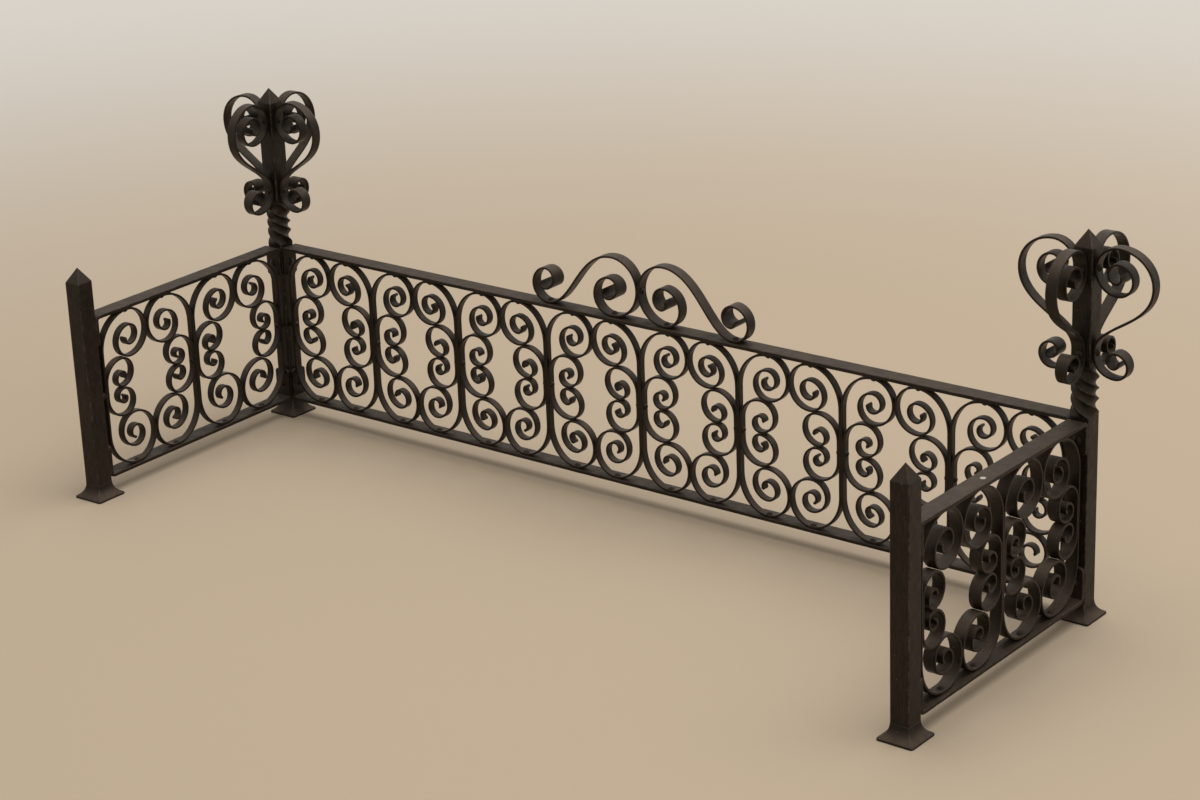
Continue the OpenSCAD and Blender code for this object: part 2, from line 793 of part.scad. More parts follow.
module screws_lugs() {
    color("#3a332e")
        at_panel_ends(0)
            for (z = [low_screw_z, top_screw_z])
                translate([rail_t, z - mid_z, 0])
                    rotate([0, 90, 0]) {
                        dome(screw_head_d, screw_head_h);
                        translate([0, 0, -rail_t - post_bite])
                            cylinder(h = rail_t + post_bite + 0.01, d = screw_d);
                    }
}
module rivets_crest() {
    up = lift(turned(crest_big_r, crest_big_turns)[1] - crest_t / 2, rivet_head_d);
    up_small = lift(crest_small_r - crest_t / 2, rivet_head_d);
    up_mid = lift(crest_big_r - crest_t / 2, rivet_head_d);
    color("#3a332e")
        translate([0, front_y, rail_top_z]) {
            for (x = crest_places, u = [abs(x) == crest_reach ? up_small : up])
                translate([x, 0, crest_t + u])
                    rivet(crest_t + u + rail_bite);
            translate([0, 0, crest_y + crest_big_r])
                for (s = [0, 1])
                    mirror([s, 0, 0])
                        translate([crest_t + up_mid, 0, 0])
                            rotate([0, 90, 0])
                                rivet(crest_t + up_mid + 0.01);
        }
}
module rivets_finial(s) {
    up = lift(finial_r - finial_t / 2, rivet_head_d);
    color("#3a332e")
        translate([s * side_x, front_y, 0])
            for (a = [0:90:270], z = [0, 1])
                rotate(a)
                    translate([face + finial_t + (z ? up : 0), 0, z ? finial_top - finial_r : finial_rivet_z])
                        rotate([0, 90, 0])
                            rivet(finial_t + (z ? up : 0) + post_bite);
}

// ---------------------------------------------------------------- the pieces
post_tall(-1);  // post_front_left
post_tall(1);  // post_front_right
post_low(-1);  // post_back_left
post_low(1);  // post_back_right
foot(-1, front_y);  // foot_front_left
foot(1, front_y);  // foot_front_right
foot(-1, back_y);  // foot_back_left
foot(1, back_y);  // foot_back_right
rail_front(true);  // rail_front_top
rail_front(false);  // rail_front_bottom
rail_side(-1, true);  // rail_left_top
rail_side(-1, false);  // rail_left_bottom
rail_side(1, true);  // rail_right_top
rail_side(1, false);  // rail_right_bottom
large_front(1);  // large_front_1
large_front(2);  // large_front_2
large_front(3);  // large_front_3
large_front(4);  // large_front_4
large_front(5);  // large_front_5
large_front(6);  // large_front_6
large_front(7);  // large_front_7
large_front(8);  // large_front_8
small_front(1);  // small_front_1
small_front(2);  // small_front_2
small_front(3);  // small_front_3
small_front(4);  // small_front_4
small_front(5);  // small_front_5
small_front(6);  // small_front_6
small_front(7);  // small_front_7
small_front(8);  // small_front_8
large_side(-1, 1);  // large_left_1
large_side(-1, 2);  // large_left_2
small_side(-1, 1);  // small_left_1
small_side(-1, 2);  // small_left_2
large_side(1, 1);  // large_right_1
large_side(1, 2);  // large_right_2
small_side(1, 1);  // small_right_1
small_side(1, 2);  // small_right_2
crest(-1);  // crest_left
crest(1);  // crest_right
finial(-1, 180, short_left[0]);  // finial_left_outer
finial(-1, 0, short_left[1]);  // finial_left_inner
finial(-1, -90, short_left[2]);  // finial_left_front
finial(-1, 90, short_left[3]);  // finial_left_back
finial(1, 0, short_right[0]);  // finial_right_outer
finial(1, 180, short_right[1]);  // finial_right_inner
finial(1, -90, short_right[2]);  // finial_right_front
finial(1, 90, short_right[3]);  // finial_right_back
rivets_front(true);  // rivets_front_top
rivets_front(false);  // rivets_front_bottom
rivets_side_rails();
rivets_front_dividers();
rivets_side_dividers();
rivets_panel_ends();
spacers_panel_ends();
rivets_crest();
rivets_finial(-1);  // rivets_finial_left
rivets_finial(1);  // rivets_finial_right
screws_lugs();
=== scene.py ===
import bpy
from math import sin, cos, pi, sqrt, radians, floor, hypot
from mathutils import Matrix, Vector, noise


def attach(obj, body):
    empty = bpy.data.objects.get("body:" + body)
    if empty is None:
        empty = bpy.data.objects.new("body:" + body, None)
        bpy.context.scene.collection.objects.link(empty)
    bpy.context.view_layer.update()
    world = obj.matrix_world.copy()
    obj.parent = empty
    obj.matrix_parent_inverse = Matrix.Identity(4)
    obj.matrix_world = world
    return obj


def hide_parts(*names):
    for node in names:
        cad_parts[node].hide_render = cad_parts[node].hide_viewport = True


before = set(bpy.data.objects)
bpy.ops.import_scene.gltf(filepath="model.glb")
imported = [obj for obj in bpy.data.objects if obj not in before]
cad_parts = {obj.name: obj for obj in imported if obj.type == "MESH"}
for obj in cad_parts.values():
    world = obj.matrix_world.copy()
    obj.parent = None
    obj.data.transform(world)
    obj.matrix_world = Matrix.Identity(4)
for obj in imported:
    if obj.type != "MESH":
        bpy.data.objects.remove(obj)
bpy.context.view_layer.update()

# ------------------------------------------------------------------ sizes, as in the part's source (mm)
SPAN, DEPTH, TOE_IN = 1300.0, 387.0, 1.2
POST_W, LOW_POST_H, TALL_POST_H, POINT_H = 25.0, 306.0, 464.0, 19.5
NECK_GAP, NECK_H, NECK_QUARTERS = 2.5, 62.0, 4
FOOT_W, FOOT_H, FOOT_EDGE, FOOT_CORNER = 48.0, 20.0, 3.0, 3.0
RAIL_W, RAIL_T, RAIL_LOW_Z, FIELD_H = 25.0, 5.0, 23.5, 221.5
TOP_LUG, LOW_LUG, BEND_R, LUG_CORNER = 43.0, 46.5, 7.0, 5.0
SCROLL_T, END_GAP, SHOULDER_H = 3.0, 7.5, 50.0
# per panel: the bar's width, its set towards the hearth, the upper and lower loops, the small loops' place
SCROLLS = {"front": (10.0, 5.0, (30.5, 32.5), 0.44), "left": (16.0, 0.0, (34.5, 33.5), 0.31),
           "right": (10.0, 5.0, (33.0, 36.0), 0.385)}
TURN_2, TURN_3, TURN_4 = 0.67, 0.415, 0.245
SMALL_TURN_2, SMALL_TURN_3 = 0.53, 0.28
TIP_SWEEP, TIP_UNEVEN, TURN_UNEVEN = 146.0, 30.0, 0.025
CREST_W, CREST_T, CREST_BIG_R, CREST_SMALL_R, CREST_FLAT, CREST_REACH = 16.0, 3.0, 40.2, 23.6, 4.0, 151.0
CREST_TURNS, CREST_SMALL_TURNS, CREST_SWEEPS = (1, 0.64, 0.345, 0.2), (1, 0.575, 0.34), (140, 100)
CREST_PULLS = (0.5, 0.37)
FINIAL_W, FINIAL_T, FINIAL_REACH, FINIAL_TOP, FINIAL_WIDE_Z = 14.5, 3.0, 89.0, 467.5, 427.0
FINIAL_COIL_X, FINIAL_SEAT_Z, FINIAL_SEAT = 42.5, 333.0, 7.0
FINIAL_LOW_Z, FINIAL_LOW_X, FINIAL_LOW_R = 310.0, 41.5, 16.0
FINIAL_TURNS, FINIAL_LOW_TURNS, FINIAL_SWEEPS = (1, 0.675, 0.405, 0.245), (1, 0.575, 0.35), (130, 120)
FINIAL_PULLS = (0.38, 0.55)
# how much less far the outer, inner, front and back finial of each post reach
SHORT_LEFT, SHORT_RIGHT = (0, 1, 0, 4), (0, 1.5, 7, 8.5)
LOOP_GAP = 0.2


def hundredth(v):
    return floor(v * 100 + 0.5) / 100


FACE = POST_W / 2
T = radians(TOE_IN)
TOE_PUSH = hundredth(FACE * sin(T)) + 0.01
BACK_REACH = ((DEPTH - FACE + TOE_PUSH) * cos(T) + FACE - DEPTH + FOOT_CORNER
              + (FOOT_W / 2 - FOOT_CORNER) * (sin(T) + cos(T)))
SHIFT_Y = hundredth((FINIAL_REACH - BACK_REACH) / 2)
FRONT_Y, BACK_Y, SIDE_X = SHIFT_Y - DEPTH / 2, SHIFT_Y + DEPTH / 2, SPAN / 2
FIELD_Z = RAIL_LOW_Z + RAIL_T
RAIL_TOP_Z = FIELD_Z + FIELD_H + RAIL_T
MID_Z = FIELD_Z + FIELD_H / 2
NECK_Z = RAIL_TOP_Z + NECK_GAP
FRONT_HALF, SIDE_HALF = SIDE_X - FACE, DEPTH / 2 - FACE
FRONT_PITCH, SIDE_PITCH = (FRONT_HALF - END_GAP) / 8 * 2, (SIDE_HALF - END_GAP) / 2 * 2
LARGE_X, LARGE_Y = SCROLL_T / 2, FIELD_H / 2 - SCROLL_T / 2
SMALL_X, SMALL_Y0 = SCROLL_T * 1.5, SCROLL_T / 2 + LOOP_GAP / 2
CREST_X, CREST_Y = CREST_BIG_R + CREST_T / 2, CREST_T / 2
SEAT_X = FACE + FINIAL_T / 2
FINIAL_R = FINIAL_COIL_X - SEAT_X

# ------------------------------------------------------------------ camera
# its place and axes in the frame, and its focal length in pixels of a frame 1200 wide
FOCAL_PX, FRAME_PX = 2892.34, 1200
CAM = Vector((-2.18829, 2.61674 + SHIFT_Y / 1000, 1.45983))
RIGHT = Vector((-0.786628, -0.616387, -0.035823))
UP = Vector((0.186875, -0.292983, 0.937677))
BACK = Vector((-0.588468, 0.730909, 0.345656))
cam_data = bpy.data.cameras.new("camera")
cam_data.sensor_width = 36.0
cam_data.lens = cam_data.sensor_width * FOCAL_PX / FRAME_PX
cam_data.clip_end = 60
cam = bpy.data.objects.new("camera", cam_data)
place = Matrix((RIGHT, UP, BACK)).transposed().to_4x4()
place.translation = CAM
cam.matrix_world = place
bpy.context.scene.collection.objects.link(cam)
bpy.context.scene.camera = cam


# ------------------------------------------------------------------ materials
# the third colour is dust on what faces up, and also painted light that makes the tops paler
BLACK, WARM, DUST_AND_TOP_LIGHT = (0.005, 0.0036, 0.0027), (0.013, 0.0086, 0.0058), (0.11, 0.079, 0.054)
# the third colour here, rubbed paint, also paints a highlight along the arrises
RUST, SPECK, RUBBED_AND_LIT, BARE = (0.085, 0.038, 0.019), (0.24, 0.21, 0.17), (0.1, 0.078, 0.06), (0.5, 0.47, 0.4)
SHEEN_TINT, SHEEN_LEVEL = (1.0, 0.9, 0.8, 1), 0.22
# scales of the grain, the hammer marks and the mill scale (per metre), their depths and the chip's rim (m)
FINE_GRAIN, HAMMER_SCALE, MILL_SCALE = (900.0, 900.0, 900.0), 95.0, 420.0
HAMMER_DEPTH, MILL_DEPTH, CHIP_RIM = 0.0011, 0.00022, (0.0052, 0.0045)


def iron(name, streak, rough, dust_and_top_light_most, hammer, edge, chip):
    """Satin black paint over forged iron. streak stretches the fine grain along one axis,
    dust_and_top_light_most is how thick dust lies on what faces up, together with a painted top light that
    makes those faces paler, hammer how deep the hammer marks are, edge how far the paint is rubbed off, which
    on the arrises is also a painted highlight, and chip the place of one pale chip."""
    m = bpy.data.materials.new(name)
    m.use_nodes = True
    n, l = m.node_tree.nodes, m.node_tree.links
    b = n["Principled BSDF"]
    b.inputs["Specular IOR Level"].default_value = SHEEN_LEVEL
    b.inputs["Specular Tint"].default_value = SHEEN_TINT
    tc = n.new("ShaderNodeTexCoord")

    def mapped(scale, turn=(0.0, 0.0, 0.0)):
        mp = n.new("ShaderNodeMapping")
        mp.inputs["Rotation"].default_value = turn
        mp.inputs["Scale"].default_value = scale
        l.new(tc.outputs["Object"], mp.inputs["Vector"])
        return mp.outputs["Vector"]

    def noisy(scale, detail=3.0, fine=0.55, vec=None):
        t = n.new("ShaderNodeTexNoise")
        t.inputs["Scale"].default_value = scale
        t.inputs["Detail"].default_value = detail
        t.inputs["Roughness"].default_value = fine
        l.new(vec or tc.outputs["Object"], t.inputs["Vector"])
        return t.outputs["Fac"]

    def span(v, a, c, to0=0.0, to1=1.0):
        r = n.new("ShaderNodeMapRange")
        r.interpolation_type = "SMOOTHSTEP"
        r.inputs["From Min"].default_value = a
        r.inputs["From Max"].default_value = c
        r.inputs["To Min"].default_value = to0
        r.inputs["To Max"].default_value = to1
        l.new(v, r.inputs["Value"])
        return r.outputs["Result"]

    def mix(f, a, c):
        x = n.new("ShaderNodeMix")
        x.data_type = "RGBA"
        l.new(f, x.inputs[0])
        for sock, v in ((x.inputs[6], a), (x.inputs[7], c)):
            if isinstance(v, tuple):
                sock.default_value = (*v, 1)
            else:
                l.new(v, sock)
        return x.outputs[2]

    def times(a, c):
        x = n.new("ShaderNodeMath")
        x.operation = "MULTIPLY"
        for sock, v in ((x.inputs[0], a), (x.inputs[1], c)):
            if isinstance(v, float):
                sock.default_value = v
            else:
                l.new(v, sock)
        return x.outputs[0]

    def plus(a, c):
        x = n.new("ShaderNodeMath")
        x.operation = "ADD"
        x.use_clamp = True
        l.new(a, x.inputs[0])
        l.new(c, x.inputs[1])
        return x.outputs[0]

    cloud = noisy(14.0, 4.0)
    blotch = noisy(70.0, 5.0, 0.65)
    grain = noisy(1.0, 3.0, 0.6, mapped(streak or FINE_GRAIN))
    tone = mix(span(plus(times(cloud, 0.6), times(blotch, 0.4)), 0.36, 0.64), BLACK, WARM)
    tone = mix(times(span(grain, 0.38, 0.68), 0.6), tone, tuple(v * 2.1 for v in WARM))
    tone = mix(times(span(grain, 0.5, 0.3), 0.5), tone, tuple(v * 0.55 for v in BLACK))
    # dust on upward faces, thicker in patches, with a painted top light: what faces up is painted paler as if
    # lit from above
    geo = n.new("ShaderNodeNewGeometry")
    sep = n.new("ShaderNodeSeparateXYZ")
    l.new(geo.outputs["Normal"], sep.inputs[0])
    up = span(sep.outputs["Z"], 0.2, 0.88)
    patch = span(noisy(38.0, 6.0, 0.7), 0.3, 0.72, 0.45, 1.0)
    dust_and_top_light_mask = times(times(up, patch), dust_and_top_light_most)
    tone = mix(dust_and_top_light_mask, tone, DUST_AND_TOP_LIGHT)
    # rust freckles where the paint has gone
    fleck = span(noisy(310.0, 2.0, 0.5), 0.69, 0.76)
    area = span(noisy(9.0, 2.0, 0.5), 0.5, 0.68)
    tone = mix(times(times(fleck, area), 0.55), tone, RUST)
    # sparse pale specks of dried dust
    speck = span(noisy(1.0, 1.0, 0.4, mapped((430.0, 430.0, 430.0), (0.7, 0.4, 1.1))), 0.76, 0.81)
    tone = mix(times(speck, 0.5), tone, SPECK)
    if chip:
        away = n.new("ShaderNodeVectorMath")
        away.operation = "DISTANCE"
        away.inputs[1].default_value = chip
        l.new(tc.outputs["Object"], away.inputs[0])
        ragged = plus(away.outputs["Value"], times(noisy(500.0, 2.0), 0.003))
        tone = mix(span(ragged, *CHIP_RIM), tone, BARE)
    # rubbed paint; on the arrises, where it is stronger, it is also a painted highlight along the edges
    rub_and_arris_light = span(noisy(120.0, 5.0, 0.7), 0.62 - 0.2 * edge, 0.8 - 0.12 * edge)
    tone = mix(times(rub_and_arris_light, 0.12 + 0.6 * edge), tone, RUBBED_AND_LIT)
    l.new(tone, b.inputs["Base Color"])
    shine = plus(span(blotch, 0.3, 0.7, rough - 0.07, rough + 0.09), times(dust_and_top_light_mask, 0.3))
    l.new(shine, b.inputs["Roughness"])
    # forged surface: shallow hammer marks, then scale and grain
    marks = n.new("ShaderNodeTexVoronoi")
    marks.feature = "SMOOTH_F1"
    marks.inputs["Scale"].default_value = HAMMER_SCALE
    marks.inputs["Smoothness"].default_value = 0.9
    l.new(tc.outputs["Object"], marks.inputs["Vector"])
    b1 = n.new("ShaderNodeBump")
    b1.inputs["Strength"].default_value = hammer
    b1.inputs["Distance"].default_value = HAMMER_DEPTH
    l.new(marks.outputs["Distance"], b1.inputs["Height"])
    b2 = n.new("ShaderNodeBump")
    b2.inputs["Strength"].default_value = 0.5
    b2.inputs["Distance"].default_value = MILL_DEPTH
    l.new(plus(times(grain, 0.5), times(noisy(MILL_SCALE, 4.0, 0.65), 0.5)), b2.inputs["Height"])
    l.new(b1.outputs["Normal"], b2.inputs["Normal"])
    l.new(b2.outputs["Normal"], b.inputs["Normal"])
    return m


# for each slot the plain look and, where the arrises are meshed, the worn one that they take, also a painted
# arris highlight
LOOKS = {}
for slot_name, streak, rough, dust_and_top_light_most, hammer, rubbed_lit, chip in (
        ("iron_post", (560.0, 560.0, 80.0), 0.4, 0.5, 0.45, 1.0, None),
        ("iron_foot", None, 0.5, 0.75, 0.7, 1.0, None),
        ("iron_rail", (34.0, 520.0, 520.0), 0.47, 0.5, 0.5, 0.9, None),
        ("iron_rail_side", (520.0, 34.0, 520.0), 0.47, 0.5, 0.5, 0.9, (-0.651, 0.068, 0.255)),
        ("iron_scroll", None, 0.37, 0.56, 0.45, 0.4, None),
        ("iron_rivet", None, 0.38, 0.3, 0.7, None, None)):
    LOOKS[slot_name] = tuple(
        iron(slot_name + ("_rubbed_lit" if e else ""), streak, rough, dust_and_top_light_most, hammer, e, chip)
        for e in (0.0, rubbed_lit) if e is not None)


# ------------------------------------------------------------------ paths of the bars (plane coordinates, mm)
COIL_STEP, ARC_STEPS, CURVE_STEPS = 1.6, 24, 40


def turned(r, shares):
    return [hundredth(r * k) for k in shares]


def uneven(k, salt):
    """A fixed value from -1 to 1 for coil k, another one for each salt."""
    return sin(radians(k * (137 + 23 * salt)))


def large_turns(r, k):
    return [hundredth(r), hundredth(r * TURN_2), hundredth(r * TURN_3 * (1 + TURN_UNEVEN * uneven(k, 1))),
            hundredth(r * TURN_4 * (1 + 2 * TURN_UNEVEN * uneven(k, 2)))]


def small_turns(r, k):
    return [hundredth(r), hundredth(r * SMALL_TURN_2 * (1 + TURN_UNEVEN * uneven(k, 1))),
            hundredth(r * SMALL_TURN_3 * (1 + 2 * TURN_UNEVEN * uneven(k, 2)))]


def tip(k):
    return TIP_SWEEP + TIP_UNEVEN * uneven(k, 3)


def coil(p, r, last, sx=1, sy=1, flats=(0, 0, 0, 0)):
    """Half turns from the top point p, first down on the +x side."""
    out, x, y = [], 0.0, 0.0
    for i, ri in enumerate(r):
        side = 1 if i % 2 == 0 else -1
        sweep = last if i == len(r) - 1 else 180.0
        n = max(6, int(radians(sweep) * ri / COIL_STEP))
        for j in range(n + 1):
            a = radians(sweep) * j / n
            out.append((x + side * ri * sin(a), y - side * ri + side * ri * cos(a)))
        y -= side * 2 * ri
        x -= side * flats[i]
    return [(p[0] + sx * u, p[1] + sy * v) for u, v in out]


def quarter(c, a, b):
    """Quarter of an ellipse round c, from a beside it to b above it."""
    angles = [radians(90 * i / ARC_STEPS) for i in range(ARC_STEPS + 1)]
    return [(c[0] - a * cos(h), c[1] + b * sin(h)) for h in angles]


def bezier(p, q, r, s):
    out = []
    for i in range(CURVE_STEPS + 1):
        t = i / CURVE_STEPS
        u = 1 - t
        out.append(tuple(u * u * u * p[k] + 3 * u * u * t * q[k] + 3 * u * t * t * r[k] + t * t * t * s[k]
                         for k in (0, 1)))
    return out


def c_scroll(xb, xc, yt, sh, radii, k):
    """xc, yt and radii hold one value for the upper and one for the lower end."""
    half = []
    for s in (0, 1):
        ys = hundredth(yt[s] - sh[s])
        half.append(quarter((xc[s], ys), xc[s] - xb, yt[s] - ys)
                    + coil((xc[s], yt[s]), radii[s], tip(2 * k + s)))
    down = [(x, -y) for x, y in half[1]]
    return down[::-1] + half[0]


def loop_x(half, r):
    return hundredth(half - SCROLL_T / 2 - LOOP_GAP / 2 - r)


def large_scroll(half, r, k):
    return c_scroll(LARGE_X, [loop_x(half, v) for v in r], (LARGE_Y, LARGE_Y), (SHOULDER_H, SHOULDER_H),
                    [large_turns(r[s], 2 * k + s) for s in (0, 1)], k)


def small_scroll(half, r, share, k):
    mid, xs, rs = hundredth(r[1] - r[0]), hundredth(share * half), []
    for s in (0, 1):
        r1 = r[s] * TURN_2
        dx, kk = loop_x(half, r[s]) - share * half, r1 + SCROLL_T + LOOP_GAP
        m = LARGE_Y - (1 - 2 * s) * mid - 2 * r[s] + r1 - SMALL_Y0
        rs.append(floor((dx * dx + m * m - kk * kk) / (2 * (m + kk)) * 100) / 100)
    pts = c_scroll(SMALL_X, (xs, xs), [SMALL_Y0 + 2 * v for v in rs], (xs - SMALL_X, xs - SMALL_X),
                   [small_turns(rs[s], 2 * k + s) for s in (0, 1)], k)
    return [(x, y + mid) for x, y in pts]


def crest_scroll(flat):
    top = hundredth(CREST_Y + 2 * CREST_BIG_R)
    run = CREST_REACH - CREST_X
    mid = bezier((CREST_X, top), (CREST_X + run * CREST_PULLS[0], top),
                 (CREST_REACH - run * CREST_PULLS[1], CREST_Y), (CREST_REACH, CREST_Y))
    big = coil((CREST_X, top), turned(CREST_BIG_R, CREST_TURNS), CREST_SWEEPS[0], -1, 1, (flat, 0, 0, 0))
    small = coil((CREST_REACH, CREST_Y), turned(CREST_SMALL_R, CREST_SMALL_TURNS), CREST_SWEEPS[1], 1, -1)
    return big[::-1] + mid + small


def finial_scroll(short):
    wide = FINIAL_REACH - short - FINIAL_T / 2
    seat_top = FINIAL_SEAT_Z + FINIAL_SEAT
    rise = FINIAL_WIDE_Z - seat_top
    rising = bezier((SEAT_X, seat_top), (SEAT_X, seat_top + rise * FINIAL_PULLS[0]),
                    (wide, FINIAL_WIDE_Z - rise * FINIAL_PULLS[1]), (wide, FINIAL_WIDE_Z))
    over = quarter((FINIAL_COIL_X, FINIAL_WIDE_Z), FINIAL_COIL_X - wide, FINIAL_TOP - FINIAL_WIDE_Z)
    low = quarter((FINIAL_LOW_X, FINIAL_SEAT_Z), FINIAL_LOW_X - SEAT_X, FINIAL_LOW_Z - FINIAL_SEAT_Z)
    upper = coil((FINIAL_COIL_X, FINIAL_TOP), turned(FINIAL_R, FINIAL_TURNS), FINIAL_SWEEPS[0], -1, 1)
    lower = coil((FINIAL_LOW_X, FINIAL_LOW_Z), turned(FINIAL_LOW_R, FINIAL_LOW_TURNS), FINIAL_SWEEPS[1],
                 1, -1)
    return upper[::-1] + over[::-1] + rising[::-1] + low + lower


STEP, SOFTEN = 2.1, 2.2


def even_path(pts):
    """Points about STEP apart, with the sudden changes of curvature softened over SOFTEN millimetres."""
    clean = [pts[0]]
    for p in pts[1:]:
        if hypot(p[0] - clean[-1][0], p[1] - clean[-1][1]) > 1e-4:
            clean.append(p)
    run = [0.0]
    for a, b in zip(clean, clean[1:]):
        run.append(run[-1] + hypot(b[0] - a[0], b[1] - a[1]))
    n = max(8, int(round(run[-1] / STEP)))
    out, j = [], 0
    for i in range(n + 1):
        s = run[-1] * i / n
        while j < len(run) - 2 and run[j + 1] < s:
            j += 1
        f = (s - run[j]) / (run[j + 1] - run[j])
        out.append((clean[j][0] + (clean[j + 1][0] - clean[j][0]) * f,
                    clean[j][1] + (clean[j + 1][1] - clean[j][1]) * f))
    for _ in range(int(round((SOFTEN / (run[-1] / n)) ** 2 * 2))):
        out = ([out[0]] + [((a[0] + 2 * b[0] + c[0]) / 4, (a[1] + 2 * b[1] + c[1]) / 4)
                           for a, b, c in zip(out, out[1:], out[2:])] + [out[-1]])
    return out, run[-1] / n


# ------------------------------------------------------------------ mesh makers
def rounded(a, b, r):
    """Section of a bar, half thickness a and half width b, with corners of radius r: points, and for each
    face that starts at a point whether it is part of a corner."""
    pts, corner, n = [], [], 3
    for q, (su, sv) in enumerate(((1, 1), (-1, 1), (-1, -1), (1, -1))):
        for i in range(n):
            h = radians(90 * q + 90 * i / (n - 1))
            pts.append((su * (a - r) + r * cos(h), sv * (b - r) + r * sin(h)))
            corner.append(i < n - 1)
        if q in (1, 3):
            s = -1 if q == 1 else 1
            for v in (0.4, 0.0, -0.4):
                pts.append((s * a, s * -v * b))
                corner.append(False)
    return pts, corner


class Builder:
    """Collects the rings of one or more bars into one mesh object."""

    def __init__(self):
        self.v, self.f, self.m = [], [], []

    def rings(self, rings, corner):
        base, n = len(self.v), len(rings[0])
        for ring in rings:
            self.v += [Vector(p) / 1000 for p in ring]
        for i in range(len(rings) - 1):
            for j in range(n):
                k = (j + 1) % n
                a, b = base + i * n, base + (i + 1) * n
                self.f.append((a + j, a + k, b + k, b + j))
                self.m.append(1 if corner[j] else 0)
        for first, ring in ((True, base), (False, base + (len(rings) - 1) * n)):
            c = len(self.v)
            self.v.append(sum((self.v[ring + j] for j in range(n)), Vector()) / n)
            for j in range(n):
                k = (j + 1) % n
                self.f.append((ring + k, ring + j, c) if first else (ring + j, ring + k, c))
                self.m.append(0)

    def make(self, name, slot_name, node, look=None):
        me = bpy.data.meshes.new(name)
        me.from_pydata(self.v, [], self.f)
        me.update()
        # the faces of the rounded arrises take the second look, with its painted arris highlight
        for poly, k in zip(me.polygons, self.m):
            poly.material_index = k
            poly.use_smooth = True
        for mat in LOOKS[look or slot_name]:
            me.materials.append(mat)
        ob = bpy.data.objects.new(name, me)
        bpy.context.scene.collection.objects.link(ob)
        wn = ob.modifiers.new("flats", "WEIGHTED_NORMAL")
        wn.weight = 60
        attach(ob, "root")
        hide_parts(node)


# how uneven a forged bar is (shares and an angle), the lengths over which that changes, those that its tips
# take up, and how far its corners and tips are drawn in (mm and shares of the thickness)
UNEVEN_T, UNEVEN_W, MOST_LEAN = 0.05, 0.03, radians(1.6)
THICK_WAVE, LEAN_WAVE, SWAY_WAVE = 24.0, 60.0, 40.0
BULB_LEN, FLARE_LEN, WANDER_LEN = 9.0, 80.0, 90.0
BAR_CORNER, BLADE_CORNER, MOST_CORNER, TIP_IN, TIP_LEAST = 0.6, 0.65, 0.45, 1.2, 0.05


def bar(build, pts, to_world, t, w, r, seed, bulge=0.55, wander=0.5, flare=0.08):
    """Flat bar, t thick and w wide, bent along pts and drawn out by hand: its thickness, width and lean
    vary a little, and near its tips it grows thicker by bulge, wider by flare and off its plane by wander."""
    path, ds = even_path(pts)
    n = len(path)
    rings = []
    for i, (x, y) in enumerate(path):
        s = ds * i
        ends = (s, ds * (n - 1) - s)
        a, b = path[max(0, i - 1)], path[min(n - 1, i + 1)]
        d = hypot(b[0] - a[0], b[1] - a[1])
        nx, ny = -(b[1] - a[1]) / d, (b[0] - a[0]) / d
        v3 = Vector((s / THICK_WAVE, seed * 7.31, 0.0))
        tt = t * (1 + UNEVEN_T * noise.noise(v3))
        ww = w * (1 + UNEVEN_W * noise.noise(v3 + Vector((0, 0, 9.7))))
        lean = MOST_LEAN * noise.noise(Vector((s / LEAN_WAVE, seed * 3.7, 4.0)))
        off = 0.0
        for e in ends:
            if e < BULB_LEN:
                tt *= 1 + bulge * (1 - e / BULB_LEN) ** 1.5
            if e < FLARE_LEN:
                h = 1 - e / FLARE_LEN
                ww *= 1 + flare * h * h * (3 - 2 * h)
            off += wander * 0.5 * (1 - min(e / WANDER_LEN, 1.0)) ** 2 * sin(seed * 2.3 + e / SWAY_WAVE)
        rr = min(r, tt * MOST_CORNER)
        e = min(ends)
        if e < tt / 2:
            # rounded end, drawn in over half the thickness
            k = sqrt(max(1 - (1 - 2 * e / tt) ** 2, TIP_LEAST))
            tt *= k
            ww -= TIP_IN * (1 - k)
            rr = min(rr, tt * MOST_CORNER)
        sec, corner = rounded(tt / 2, ww / 2, rr)
        ring = []
        for u, v in sec:
            uu, vv = u * cos(lean) - v * sin(lean), u * sin(lean) + v * cos(lean)
            ring.append(to_world(x + nx * uu, y + ny * uu, vv + off))
        rings.append(ring)
    build.rings(rings, corner)


def swing(x, y):
    """A point of the right side panel, turned with it towards the hearth about the front post's back face."""
    dx, dy = x - SIDE_X, y - (FRONT_Y + FACE) + TOE_PUSH
    return SIDE_X + dx * cos(T) - dy * sin(T), FRONT_Y + FACE + dx * sin(T) + dy * cos(T)


def front_place(x0, mirrored, inward):
    def to_world(x, y, out):
        return (x0 + (-x if mirrored else x), FRONT_Y + inward + out, MID_Z + y)
    return to_world


def side_place(s, y0, mirrored, inward):
    def to_world(x, y, out):
        px, py = s * (SIDE_X - inward) + out, SHIFT_Y + y0 + (-x if mirrored else x)
        if s > 0:
            px, py = swing(px, py)
        return (px, py, MID_Z + y)
    return to_world


